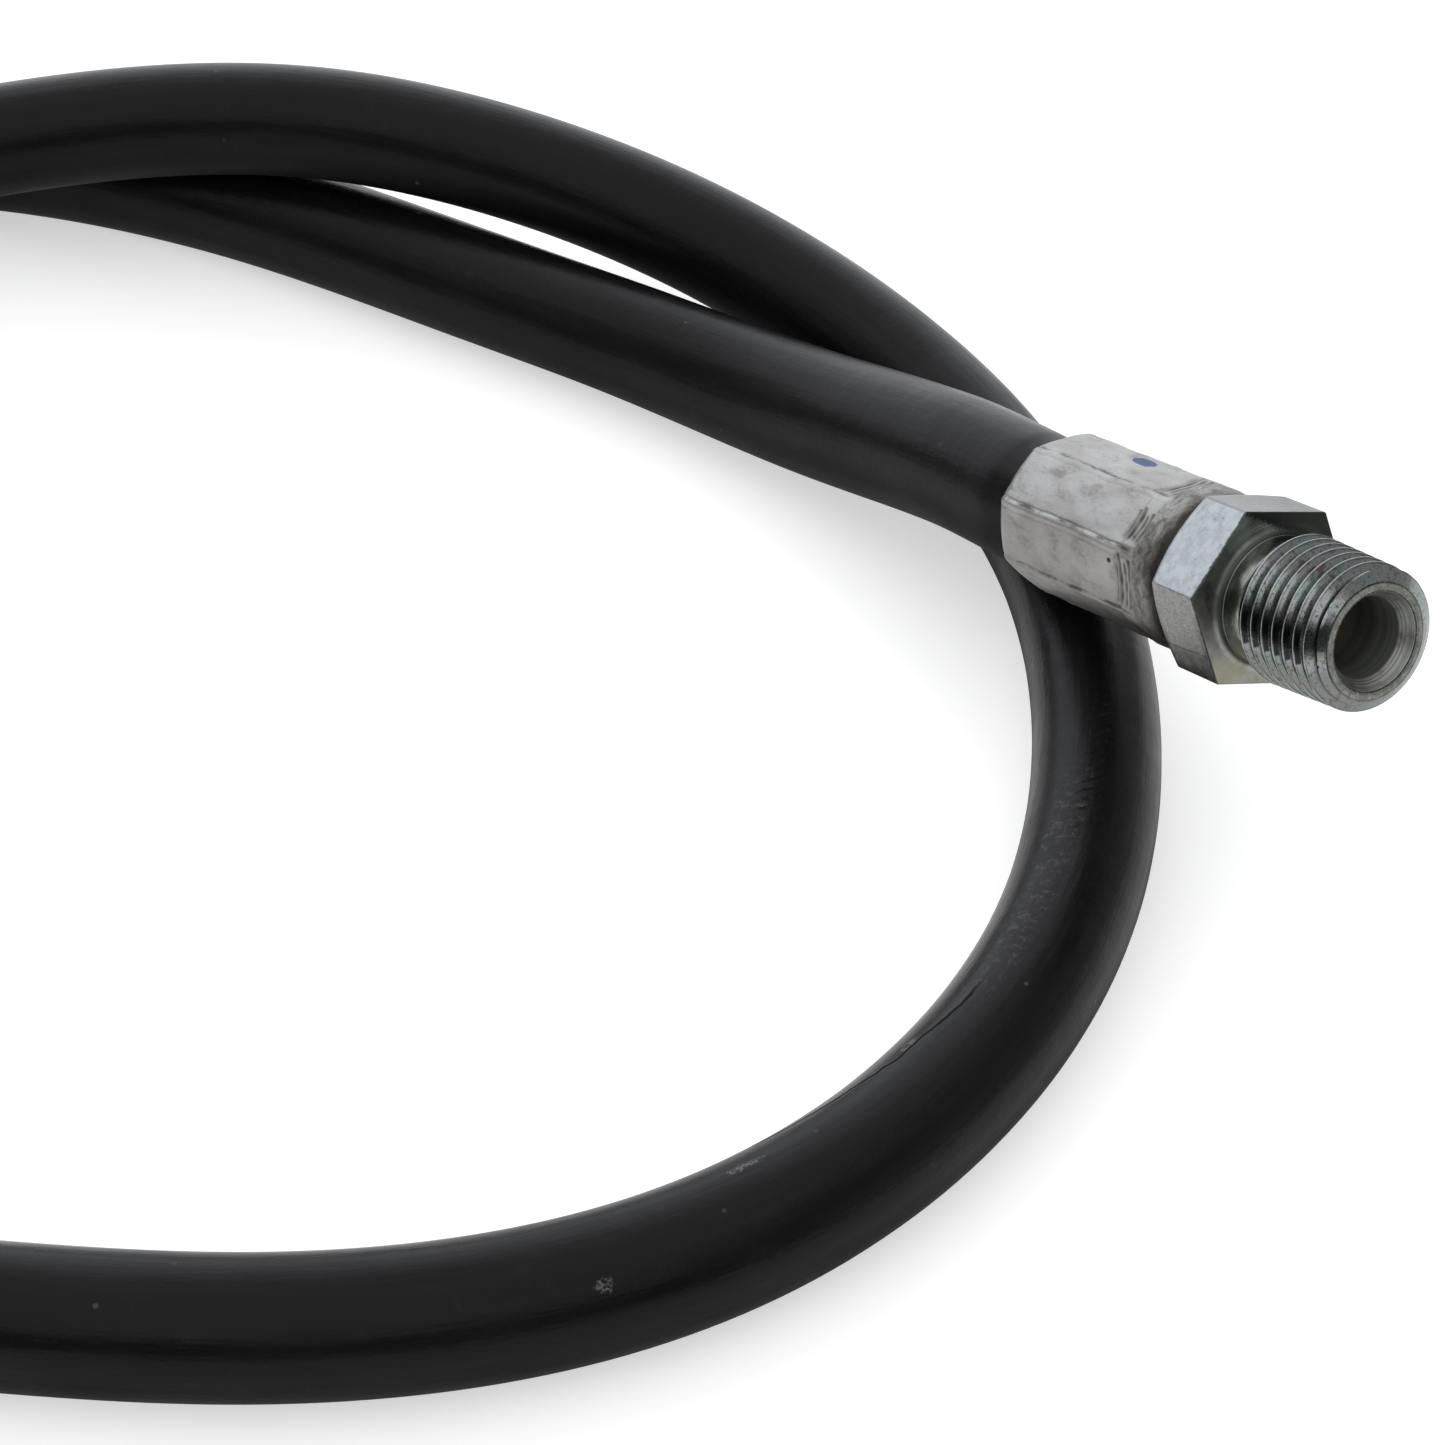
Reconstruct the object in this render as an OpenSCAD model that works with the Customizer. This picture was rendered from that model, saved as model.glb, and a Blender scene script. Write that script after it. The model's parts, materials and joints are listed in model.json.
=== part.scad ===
// Hydraulic hose assembly: a wire-braided hose with a rigid male pipe end crimped on each end.
// Millimetres, +Z up. The origin is the centre of end A's sealing face, and the hose lies in a
// loop on the floor. Each end is drawn along its own +Z, with its sealing face at height 0 and the
// hose below it, and is then laid in place.

/* [Hose] */
// Outside diameter of the hose
hose_od = 12.2; // [11.6:0.1:12.6]
// Bore of the hose
hose_bore = 6.4; // [6:0.1:6.8]
// Wall of the inner tube
tube_wall = 1.15; // [0.9:0.05:1.3]
// Thickness of the wire braid
braid_wall = 0.6; // [0.4:0.05:0.8]
// Flat sides round the free hose
hose_sides = 12; // [8:2:12]

/* [Pipe thread] */
// Length from the sealing face to the hex
thread_reach = 14.3; // [13.5:0.1:16]
// Threads in each inch
threads_per_inch = 18; // [18:1:20]
// Diameter over the crests at the sealing face
thread_od = 13.26; // [13:0.02:13.6]
// Diameter growth for each unit of length
thread_taper = 0.0625; // [0.05:0.0025:0.075]
// Full crests
thread_crests = 7; // [5:1:7]
// Distance from the sealing face to the first crest
thread_start = 1.5; // [1.4:0.1:2]
// Outside diameter of the flat sealing face
face_od = 10.8; // [10.2:0.1:11]
// Diameter of the chamfer's outer edge beside the sealing face
end_edge_d = 12; // [11.4:0.1:12.4]
// Length of that chamfer
end_edge_len = 0.5; // [0.3:0.05:0.6]

/* [Waterway] */
// Bore of the pipe end
port_bore = 7.5; // [7:0.1:7.8]
// Mouth diameter of the conical seat
seat_mouth = 9; // [8.6:0.1:9.6]
// Half of the seat's cone angle
seat_half_angle = 30; // [24:1:37]
// Depth of the wide bore
port_depth = 17.5; // [15:0.5:20]
// Bore of the barbed tail
tail_bore = 4.4; // [3.8:0.1:4.8]

/* [Wrench hex] */
// Width across the flats
hex_af = 15.875; // [14:0.125:17.5]
// Length of the hex
hex_len = 6.8; // [5:0.1:9]
// Diameter where the rear chamfer meets the rear face
hex_rear_d = 14.8; // [13:0.1:15.8]
// Turn of end A's stem about its axis
stem_turn_a = 10.5; // [0:0.5:59.5]

/* [Stem tail] */
// Diameter of the lock groove under the ferrule's flange
lock_groove_d = 9.2; // [8.6:0.1:9.6]
// Diameter of the collar behind the lock groove
collar_d = 10.6; // [10.2:0.1:11]
// Length of the collar
collar_len = 1.4; // [1:0.1:2]
// Diameter over the barbs
barb_d = 6.8; // [6.6:0.05:7]
// Diameter between the barbs
barb_root_d = 6.1; // [5.8:0.05:6.3]
// Barbs on the tail
barbs = 5; // [3:1:6]
// Distance from the tail's tip to the ferrule's mouth
tail_recess = 1.3; // [0.8:0.1:3]

/* [Ferrule] */
// Length of the ferrule
ferrule_len = 25.4; // [22:0.1:32]
// Diameter over the ridges between the die faces
ferrule_od = 15.8; // [15.4:0.1:16.2]
// Distance across two opposite die faces
die_af = 15; // [14.6:0.1:15.2]
// Die faces round the ferrule
die_faces = 8; // [6:2:10]
// Turn of the die faces about the axis
die_turn = 17; // [0:1:44]
// Length of the uncrimped shoulder and flange
shoulder_len = 5.4; // [4.6:0.1:7]
// Length of the straight band between the shoulder's rounding and the die faces
shoulder_band = 1.9; // [1.2:0.1:3]
// Diameter of the ferrule's front face
ferrule_nose_d = 13.2; // [12.4:0.1:13.8]
// Thickness of the flange in the lock groove
flange_len = 2.5; // [2:0.1:3]
// Inside diameter of the crimped sleeve
grip_bore = 11.4; // [11.1:0.1:11.6]
// Depth of the grooves inside the sleeve
grip_depth = 0.25; // [0.1:0.05:0.4]
// Grooves inside the sleeve
grips = 5; // [3:1:6]
// Length of the flared mouth
mouth_len = 1.6; // [1:0.1:3]

/* [Layout] */
// Height of end A's sealing face centre above the floor
rest_height = 34; // [33.5:0.1:38]
// Upward tilt of end A
tilt = 17.5; // [15:0.5:20]
// Upward tilt of end B, which lies across the loop
tilt_b = 10; // [8:0.5:12]
// Turn of end B from the -Y direction
turn_b = -27; // [-32:0.5:-22]

/* [Hidden] */
$fn = 96;

inch = 25.4;
seam_gap = 0.3;      // between the hex and the ferrule, and beside the flange
flange_gap = 0.05;   // round the lock groove
mouth_gap = 0.05;    // between the hose and the ferrule's mouth
mouth_lip = 0.6;     // chamfer at the ferrule's mouth

steel_bright = [0.74, 0.75, 0.75];
steel_dull = [0.70, 0.70, 0.68];
wire_grey = [0.55, 0.55, 0.53];
rubber_black = [0.07, 0.07, 0.075];
rubber_tube = [0.12, 0.12, 0.12];

pitch = inch / threads_per_inch;
thread_depth = 0.8 * pitch;
flank_len = thread_depth * tan(30);
crest_flat = pitch / 2 - flank_len;
seat_depth = (seat_mouth - port_bore) / 2 / tan(seat_half_angle);
drill_tip = (port_bore - tail_bore) / 2 / tan(59);
last_crest = thread_start + (thread_crests - 1) * pitch;
neck_r = crest_r(last_crest) - thread_depth;

hex_front = thread_reach;
hex_rear = hex_front + hex_len;
ferrule_front = hex_rear + seam_gap;
mouth = ferrule_front + ferrule_len;       // plane where the free hose starts
flange_rear = ferrule_front + flange_len;
collar_front = flange_rear + seam_gap;
hose_stop = collar_front + collar_len;     // end of the hose inside the ferrule
tail_tip = mouth - tail_recess;
die_start = ferrule_front + shoulder_len;

tube_r = hose_bore / 2 + tube_wall;
braid_r = tube_r + braid_wall;
cover_r = hose_od / 2;

floor_z = -rest_height;
hose_z = floor_z + cover_r;
axis_a = [cos(tilt), 0, sin(tilt)];
axis_b = [sin(turn_b) * cos(tilt_b), -cos(turn_b) * cos(tilt_b), sin(tilt_b)];
mouth_a = -mouth * axis_a;
lead = 23;                                 // straight hose behind each mouth
lying_gap = 0.7;                           // over the hose that ferrule B lies on
lying_reach = 15.2;                        // from that hose's middle back to mouth B
over_b = [-206, -151, floor_z + hose_od + ferrule_od / 2 + lying_gap];
mouth_b = over_b - lying_reach * axis_b;

// The hose's route: x, y and the height above a hose that lies flat on the floor.
// It runs from end A round the loop, under ferrule A, over its own first pass to end B.
route = [
    [-88.5, -3, 0], [-110, -10, 0], [-131, -19.5, 0], [-152, -30.5, 0], [-171.5, -43.5, 0],
    [-187, -60, 0], [-198.5, -79, 0], [-206, -99.5, 0], [-210, -121, 0], [-209, -143, 0],
    [-202.5, -164, 0], [-191, -182.5, 0], [-174.5, -198, 0], [-154.5, -209, 0],
    [-132, -213.5, 0], [-108.5, -210, 0], [-87, -200.5, 0], [-68.5, -186, 0], [-52, -168, 0],
    [-36.5, -148.5, 0], [-20.5, -129, 0], [-5, -109.5, 0], [5.5, -88, 0], [8.5, -65.5, 0],
    [3, -42.5, 0], [-10, -21.5, 0], [-30, -4.5, 0], [-52, 7, 0], [-74, 12, 0], [-95, 10.5, 2],
    [-114.5, 3, 6], [-132, -10, 10.5], [-147.5, -26.5, 13.5], [-161, -44, 11.5],
    [-170, -62.5, 9], [-176.5, -80.5, 7], [-182, -99, 6.5]
];
path = concat(
    [mouth_a, -(mouth + lead) * axis_a],
    [for (p = route) [p[0], p[1], hose_z + p[2]]],
    [mouth_b - lead * axis_b, mouth_b]
);
last = len(path) - 1;

// Radius over the thread's crests at a distance from the sealing face
function crest_r(back) = thread_od / 2 + back * thread_taper / 2;

// Half profile of one thread ring, from its front root to its rear root
function thread_ring(back) = [
    [crest_r(back) - thread_depth, -(back - crest_flat / 2 - flank_len)],
    [crest_r(back), -(back - crest_flat / 2)],
    [crest_r(back), -(back + crest_flat / 2)],
    [crest_r(back) - thread_depth, -(back + crest_flat / 2 + flank_len)]
];

// Outline of the barbed tail from the collar to its tip; each barb is steepest on the collar side
barb_pitch = (tail_tip - hose_stop) / (barbs + 0.5);
function tail_outline() = concat(
    [[barb_root_d / 2, -hose_stop]],
    [for (i = [0 : barbs - 1])
        each [
            [barb_root_d / 2, -(hose_stop + (i + 0.6) * barb_pitch)],
            [barb_d / 2, -(hose_stop + (i + 0.7) * barb_pitch)],
            [barb_d / 2, -(hose_stop + (i + 0.8) * barb_pitch)]
        ]],
    [[barb_root_d / 2, -tail_tip]]
);

// Outline that the ferrule presses into the cover, from the hose's end to the mouth
grip_start = hose_stop;
grip_end = mouth - mouth_len;
grip_pitch = (grip_end - grip_start) / (grips + 1);
function grip_outline(gap) = concat(
    [[grip_bore / 2 + gap, -grip_start]],
    [for (i = [1 : grips])
        each [
            [grip_bore / 2 + gap, -(grip_start + (i - 0.3) * grip_pitch)],
            [grip_bore / 2 + grip_depth + gap, -(grip_start + (i - 0.1) * grip_pitch)],
            [grip_bore / 2 + grip_depth + gap, -(grip_start + (i + 0.1) * grip_pitch)],
            [grip_bore / 2 + gap, -(grip_start + (i + 0.3) * grip_pitch)]
        ]],
    [[grip_bore / 2 + gap, -grip_end], [cover_r + gap, -mouth]]
);

// Hex with a turned chamfer at its rear
module wrench_hex() {
    corner_r = hex_af / 2 / cos(30);
    chamfer = (corner_r - hex_rear_d / 2) * tan(30);
    intersection() {
        translate([0, 0, -hex_rear])
            linear_extrude(hex_len)
                circle(r = corner_r, $fn = 6);
        rotate_extrude()
            polygon([
                [0, -hex_rear], [hex_rear_d / 2, -hex_rear], [corner_r, -hex_rear + chamfer],
                [corner_r, -hex_front], [0, -hex_front]
            ]);
    }
}

// Turned stem: thread, neck, hex, lock groove, collar and barbed tail, bored through
module stem() {
    difference() {
        union() {
            rotate_extrude()
                polygon(concat(
                    [[0, 0], [face_od / 2, 0], [end_edge_d / 2, -end_edge_len]],
                    [for (i = [0 : thread_crests - 1]) each thread_ring(thread_start + i * pitch)],
                    [
                        [neck_r, -hex_front - hex_len / 2],
                        [lock_groove_d / 2, -hex_front - hex_len / 2],
                        [lock_groove_d / 2, -collar_front], [collar_d / 2, -collar_front],
                        [collar_d / 2, -hose_stop]
                    ],
                    tail_outline(),
                    [[0, -tail_tip]]
                ));
            wrench_hex();
        }
        rotate_extrude()
            polygon([
                [0, 1], [seat_mouth / 2 + tan(seat_half_angle), 1],
                [port_bore / 2, -seat_depth], [port_bore / 2, -port_depth],
                [tail_bore / 2, -port_depth - drill_tip], [tail_bore / 2, -tail_tip - 1],
                [0, -tail_tip - 1]
            ]);
    }
}

// Crimped sleeve: rounded shoulder, step, die faces with ridges between them, flared mouth
module ferrule() {
    nose_r = ferrule_nose_d / 2;
    ridge_r = ferrule_od / 2;
    round_len = shoulder_len - shoulder_band;
    difference() {
        intersection() {
            rotate_extrude()
                polygon(concat(
                    [[0, -ferrule_front]],
                    [for (a = [0 : 15 : 90])
                        [nose_r + (ridge_r - nose_r) * sin(a),
                         -ferrule_front - round_len * (1 - cos(a))]],
                    [[ridge_r, -mouth + mouth_lip], [ridge_r - mouth_lip, -mouth], [0, -mouth]]
                ));
            union() {
                translate([0, 0, -mouth])
                    rotate(die_turn)
                        linear_extrude(ferrule_len)
                            circle(r = die_af / 2 / cos(180 / die_faces), $fn = die_faces);
                translate([0, 0, -die_start])
                    cylinder(h = shoulder_len, r1 = die_af / 2, r2 = die_af / 2 + shoulder_len);
            }
        }
        rotate_extrude()
            polygon(concat(
                [[0, 1 - ferrule_front], [lock_groove_d / 2 + flange_gap, 1 - ferrule_front],
                 [lock_groove_d / 2 + flange_gap, -flange_rear],
                 [grip_bore / 2, -flange_rear]],
                grip_outline(0),
                [[cover_r + mouth_gap, -mouth], [cover_r + mouth_gap, -mouth - 1], [0, -mouth - 1]]
            ));
    }
}

// End of the inner tube, pressed on the barbs
module tube_end() {
    rotate_extrude()
        polygon(concat(
            tail_outline(),
            [[hose_bore / 2, -tail_tip], [hose_bore / 2, -mouth], [tube_r, -mouth],
             [tube_r, -hose_stop]]
        ));
}

// End of the wire braid
module braid_end() {
    rotate_extrude()
        polygon([[tube_r, -hose_stop], [braid_r, -hose_stop], [braid_r, -mouth], [tube_r, -mouth]]);
}

// End of the cover, pressed into the grooves of the ferrule
module cover_end() {
    rotate_extrude()
        polygon(concat([[braid_r, -hose_stop]], grip_outline(0), [[braid_r, -mouth]]));
}

// Lays one end's pieces in place
module at_a() {
    rotate([0, 90 - tilt, 0])
        children();
}
module at_b() {
    translate(mouth_b + mouth * axis_b)
        rotate([90 - tilt_b, 0, turn_b])
            children();
}

// Centre of one ring of the free hose: the route rounded by its neighbours
function ring_centre(i) =
    i == 0 || i == last ? path[i] : (path[i - 1] + 4 * path[i] + path[i + 1]) / 6;
function ring_tangent(i) =
    let (d = path[min(i + 1, last)] - path[max(i - 1, 0)])
    i == 0 ? -axis_a : i == last ? axis_b : d / norm(d);
function ring_points(i) =
    let (
        along = ring_tangent(i),
        flat = cross([0, 0, 1], along),
        side = flat / norm(flat),
        up = cross(along, side)
    )
    [for (k = [0 : hose_sides - 1])
        let (a = 360 * k / hose_sides)
        ring_centre(i) + cover_r * (cos(a) * side + sin(a) * up)];

// The free hose between the two mouths
module free_hose() {
    points = [for (i = [0 : last]) each ring_points(i)];
    walls = [for (i = [0 : last - 1])
        for (k = [0 : hose_sides - 1])
            let (next = (k + 1) % hose_sides)
            [i * hose_sides + k, (i + 1) * hose_sides + k,
             (i + 1) * hose_sides + next, i * hose_sides + next]];
    start_cap = [[for (k = [0 : hose_sides - 1]) k]];
    end_cap = [[for (k = [hose_sides - 1 : -1 : 0]) last * hose_sides + k]];
    polyhedron(points, concat(walls, start_cap, end_cap), convexity = 10);
}

module stem_a() {
    color(steel_bright) at_a() rotate(stem_turn_a) stem();
}
module ferrule_a() {
    color(steel_dull) at_a() ferrule();
}
module inner_tube_end_a() {
    color(rubber_tube) at_a() tube_end();
}
module wire_braid_end_a() {
    color(wire_grey) at_a() braid_end();
}
module cover_end_a() {
    color(rubber_black) at_a() cover_end();
}
module hose_run() {
    color(rubber_black) free_hose();
}
module cover_end_b() {
    color(rubber_black) at_b() cover_end();
}
module wire_braid_end_b() {
    color(wire_grey) at_b() braid_end();
}
module inner_tube_end_b() {
    color(rubber_tube) at_b() tube_end();
}
module ferrule_b() {
    color(steel_dull) at_b() ferrule();
}
module stem_b() {
    color(steel_bright) at_b() stem();
}

stem_a();
ferrule_a();
inner_tube_end_a();
wire_braid_end_a();
cover_end_a();
hose_run();
cover_end_b();
wire_braid_end_b();
inner_tube_end_b();
ferrule_b();
stem_b();
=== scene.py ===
"""Looks for a hydraulic hose assembly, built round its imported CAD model.

Blender objects are in metres with +Z up. Sizes below are in millimetres, as in the CAD source.
A fitting's own frame has +Z pointing out of its thread, with the sealing face at height 0.
"""

import json
import math

import bpy
import numpy as np
from mathutils import Matrix, Vector


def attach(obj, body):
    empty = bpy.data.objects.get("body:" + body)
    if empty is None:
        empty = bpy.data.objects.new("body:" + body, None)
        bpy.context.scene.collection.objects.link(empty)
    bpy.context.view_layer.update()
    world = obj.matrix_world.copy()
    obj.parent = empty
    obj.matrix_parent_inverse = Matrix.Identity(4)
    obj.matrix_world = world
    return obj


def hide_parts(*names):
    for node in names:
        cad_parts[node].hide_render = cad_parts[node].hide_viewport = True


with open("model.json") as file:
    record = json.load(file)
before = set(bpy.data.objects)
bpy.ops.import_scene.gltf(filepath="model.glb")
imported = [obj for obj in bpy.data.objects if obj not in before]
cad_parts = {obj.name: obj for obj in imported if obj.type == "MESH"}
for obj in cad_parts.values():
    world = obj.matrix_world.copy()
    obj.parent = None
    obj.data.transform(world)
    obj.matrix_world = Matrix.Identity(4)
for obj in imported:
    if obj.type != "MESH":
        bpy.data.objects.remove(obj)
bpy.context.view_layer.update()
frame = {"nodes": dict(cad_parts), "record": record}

MM = 0.001

# Camera, fitted to the photo, in metres
CAMERA_PLACE = (0.19803, -0.19233, 0.21696)
CAMERA_RIGHT = (0.5357, 0.8444, 0)
CAMERA_AHEAD = (-0.6477, 0.4109, -0.6416)
LENS = 100
SENSOR = 36

# Hose
HOSE_R = 6.1
HOSE_STEPS = 14             # rings of the tube for each point of its route
HOSE_SIDES = 48
HOSE_INSIDE = 0.8           # how far the tube reaches into each ferrule
SWELL = 0.55                # of the radius, just behind the crimp
ARCH = 0.9                  # how far the hose rises there over the CAD route
LEAN = 0.8                  # how far it then leans towards the viewer
TO_VIEWER = (0.844, -0.536, 0)

# Pipe thread
PITCH = 25.4 / 18
THREAD_DEPTH = 0.8 * PITCH
THREAD_R = 6.63             # over the crests at the sealing face
TAPER = 1 / 32              # growth of the radius for each unit of length
CREST_BACK = 1.5            # how far a crest lies behind the sealing face at THREAD_PHASE
THREAD_PHASE = 237.5
CREST_HALF = 0.045          # half of a crest's width
FLANK_SLOPE = 60            # of a flank against the axis
ROOT_SHARPNESS = 14
FACE_R = 5.4
CHAMFER_SLOPE = 2.0         # growth of the radius for each unit of length at the end's chamfer
NECK_R = 6.02
THREAD_END = 11.0           # where the thread has run out and the neck starts
RUNOUT_SLOPE = 1.5
RUNOUT_DIP = 0.3            # depth of the groove there
RUNOUT_WIDTH = 0.25

# Waterway
SEAT_R = 4.5
PORT_R = 3.75
SEAT_DEPTH = 1.3
PORT_DEPTH = 17.5
PORT_BREAK = 0.03           # of the edge between the seat and the port
DRILL_TIP = 0.93
TAIL_R = 2.2
TAIL_END = 30

# Wrench hex
HEX_AF = 15.875
HEX_FRONT = 14.3
HEX_REAR = 21.1
HEX_REAR_R = 7.4
HEX_CORNER = 0.3            # rounding of the corners
HEX_EDGE = 0.1              # rounding of the front edges
HEX_HOLE_R = 4.6            # where the rear face ends, inside the ferrule
FLAT_HEIGHT = (7.72, 7.88)  # over the axis, where the looks take a point as on a flat
STEM_TURN = 10.5            # turn of end A's stem about its axis
TOP_FLAT = -19.5            # angle of end A's top flat, from upwards
FILLET = 0.77               # between the neck and the hex

# Ferrule
FERRULE_FRONT = 21.4
MOUTH = 46.8
NOSE_R = 6.6
BAND_R = 7.87
ROUND_LEN = 3.5             # length of the rounded shoulder
FRONT_HOLE_R = 4.68
DIE_TURN = 17
DIE_STEP = 45               # angle between two ridges
DIE_R = 7.5                 # in the middle of a face
FACE_RISE = 0.26            # of a face above that, FACE_HALF degrees from its middle
FACE_HALF = 18.5
RIDGE_R = 7.86
RIDGE_HALF = (1.2, 4.2)     # half angles of a ridge's top and foot
VALLEY = 0.09               # depth of the groove beside each ridge
VALLEY_AT = 3.4             # angle from the ridge to the groove
VALLEY_WIDTH = 0.7
VALLEY_OTHER = 0.35         # share of that depth on the ridge's other side
DIE_END = 27.1              # where the die faces rise by DIE_RISE
DIE_RISE = 0.14
BAND_END = 25.15            # where the round front band ends
DIE_MARKS = ((25.15, 1.0, 0.23), (25.75, 0.8, 0.17), (26.45, 1.0, 0.28), (27.1, 0.9, 0.2))
MARK_DEPTH = 0.14           # DIE_MARKS are distances, shares of this depth, and widths
MARK_STARTS = (12, 2)       # angles past a ridge
MOUTH_R = 6.15
MOUTH_ROUND = 1.5
MOUTH_DROP = 0.95

# Layout
TILT = 17.5                 # upward tilt of end A
TILT_B = 10
TURN_B = -27                # turn of end B from the -Y direction
FLOOR = -34.0
LEAD = 23                   # straight hose at each mouth
HOSE_FLAT = FLOOR + HOSE_R
CROSSING_B = (-206, -151)   # where end B's ferrule lies across the loop
LIFT_B = 8.6                # of B's axis over the top of the hose there
AFTER_B = 15.2              # from the crossing back to B's mouth
AXIS_A = Vector((math.cos(math.radians(TILT)), 0, math.sin(math.radians(TILT))))
AXIS_B = Vector((math.sin(math.radians(TURN_B)) * math.cos(math.radians(TILT_B)),
                 -math.cos(math.radians(TURN_B)) * math.cos(math.radians(TILT_B)),
                 math.sin(math.radians(TILT_B))))
MOUTH_B = Vector((*CROSSING_B, FLOOR + 2 * HOSE_R + LIFT_B)) - AFTER_B * AXIS_B

# The hose's route, as in the CAD source: x, y and height above a hose that lies flat
ROUTE = [
    (-88.5, -3, 0), (-110, -10, 0), (-131, -19.5, 0), (-152, -30.5, 0), (-171.5, -43.5, 0),
    (-187, -60, 0), (-198.5, -79, 0), (-206, -99.5, 0), (-210, -121, 0), (-209, -143, 0),
    (-202.5, -164, 0), (-191, -182.5, 0), (-174.5, -198, 0), (-154.5, -209, 0),
    (-132, -213.5, 0), (-108.5, -210, 0), (-87, -200.5, 0), (-68.5, -186, 0), (-52, -168, 0),
    (-36.5, -148.5, 0), (-20.5, -129, 0), (-5, -109.5, 0), (5.5, -88, 0), (8.5, -65.5, 0),
    (3, -42.5, 0), (-10, -21.5, 0), (-30, -4.5, 0), (-52, 7, 0), (-74, 12, 0), (-95, 10.5, 2),
    (-114.5, 3, 6), (-132, -10, 10.5), (-147.5, -26.5, 13.5), (-161, -44, 11.5),
    (-170, -62.5, 9), (-176.5, -80.5, 7), (-182, -99, 6.5),
]

# Marks that the photo shows. On a fitting: radius, angle from upwards, distance behind the face
BLUE_DOT = (7.6, -15.8, 34.7)
PIT = (7.6, 71.7, 28.6)
RUST = (6.4, 13, 5.2)
GREEN_SHEEN = (7.6, 22, HEX_FRONT)
# painted shade: a dark streak on the face beside the neck
FACE_SHADE_STREAK = (6.7, 74, HEX_FRONT - 0.3)
YELLOW_STAIN = (8.0, 130, HEX_FRONT)

# On the hose: stretches in mm from mouth A, and nicks as place, half size and roughness
WRAP_EDGE = (574, 604)
EDGE_SLANT = 0.1
EDGE_ASIDE = 62.5           # the edge lies where EDGE_SLANT * run + the place across reach this
RIBS = (626, 647)
RIB_RATE = 4.7              # radians for each mm along the hose, and across it
RIB_SLANT = 2.2
SCUFFS = (604, 634)
NICKS = (((3.0, 5.3, 594), (0.5, 0.6, 1.4), 0.6), ((1.6, 5.9, 573), (0.5, 0.6, 2.2), 0.7),
         ((-4.1, 4.5, 558), (0.8, 0.8, 0.9), 0.6))

# Light from all round: linear colours, and walls as azimuth, half width, top and softness of
# the top in degrees
CEILING = (1.15, 1.15, 1.15)
RIGHT_WALL = (0.4, 0.4, 0.4)
WINDOW = (1.62, 1.68, 1.76)
ROOM = (0.04, 0.04, 0.04)
CORNER = (0.3, 0.3, 0.3)
WALLS = ((68, 58, 51, 5, RIGHT_WALL), (166, 46, 50, 4, WINDOW),
         (302.5, 86, 26, 5, ROOM), (238, 24, 40, 4, CORNER))
WALL_SOFT = 2               # half of a wall's soft side edge
LIGHT = 1.12
FLOOR_HALF = 3.0            # in metres
FLOOR_GLOW = 0.55


# ---------------------------------------------------------------- camera

def place_camera():
    """Puts the camera where the photograph was taken from."""
    lens = bpy.data.cameras.new("camera")
    lens.lens = LENS
    lens.sensor_width = SENSOR
    lens.clip_start = 0.01
    camera = bpy.data.objects.new("camera", lens)
    bpy.context.scene.collection.objects.link(camera)
    right = Vector(CAMERA_RIGHT).normalized()
    ahead = Vector(CAMERA_AHEAD).normalized()
    up = right.cross(ahead).normalized()
    turn = Matrix((right, up, -ahead)).transposed()
    camera.matrix_world = Matrix.Translation(CAMERA_PLACE) @ turn.to_4x4()
    bpy.context.scene.camera = camera


place_camera()


# ---------------------------------------------------------------- meshes

def grid(rows, columns, wrap=True):
    """Quads of a grid of points, row after row, closed round its columns.

    Seen from outside a fitting, its rows run back from the sealing face or outwards on a face."""
    row, column = np.meshgrid(np.arange(rows - 1), np.arange(columns if wrap else columns - 1),
                              indexing="ij")
    here = row * columns
    after = (column + 1) % columns
    quads = np.stack([here + column, here + columns + column, here + columns + after,
                      here + after], axis=-1)
    return quads.reshape(-1, 4)


class Skin:
    """Gathers grids of points into one mesh with several materials and point attributes."""

    def __init__(self):
        self.points, self.quads, self.slots, self.values = [], [], [], []

    def add(self, points, quads, slot, value=0.0):
        """points: (n, 3) in mm; quads index these points; value is one number for each point."""
        start = sum(len(p) for p in self.points)
        self.points.append(points)
        self.quads.append(quads + start)
        self.slots.append(np.full(len(quads), slot))
        self.values.append(np.broadcast_to(np.asarray(value, float), (len(points),)))

    def turned(self, profile, slot, columns=256, value=0.0):
        """Adds a surface of revolution through (radius, distance behind the face) points."""
        angle = np.linspace(0, 2 * math.pi, columns, endpoint=False)
        rings = [np.stack([r * np.cos(angle), r * np.sin(angle), np.full(columns, -back)], axis=1)
                 for r, back in profile]
        self.add(np.concatenate(rings), grid(len(profile), columns), slot, value)

    def mesh(self, name, materials, place, sharp=35):
        """Makes the mesh at its place in the row frame, and keeps each point's own coordinates."""
        own = np.concatenate(self.points)
        points = own * MM @ np.array(place.to_3x3()).T + np.array(place.translation)
        quads = np.concatenate(self.quads)
        mesh = bpy.data.meshes.new(name)
        mesh.from_pydata(points.tolist(), [], quads.tolist())
        mesh.attributes.new("own_place", "FLOAT_VECTOR", "POINT").data.foreach_set(
            "vector", own.reshape(-1).astype(np.float32))
        mesh.attributes.new("depth", "FLOAT", "POINT").data.foreach_set(
            "value", np.concatenate(self.values).astype(np.float32))
        for material in materials:
            mesh.materials.append(material)
        mesh.polygons.foreach_set("material_index", np.concatenate(self.slots).astype(np.int32))
        mesh.polygons.foreach_set("use_smooth", np.ones(len(quads), bool))
        mesh.set_sharp_from_angle(angle=math.radians(sharp))
        mesh.validate()
        mesh.update()
        return mesh


def show(name, mesh, slot, *nodes):
    """Puts a mesh in the scene, where it stands for CAD nodes."""
    piece = bpy.data.objects.new(name, mesh)
    bpy.context.scene.collection.objects.link(piece)
    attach(piece, "root")
    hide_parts(*nodes)
    return piece


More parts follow.
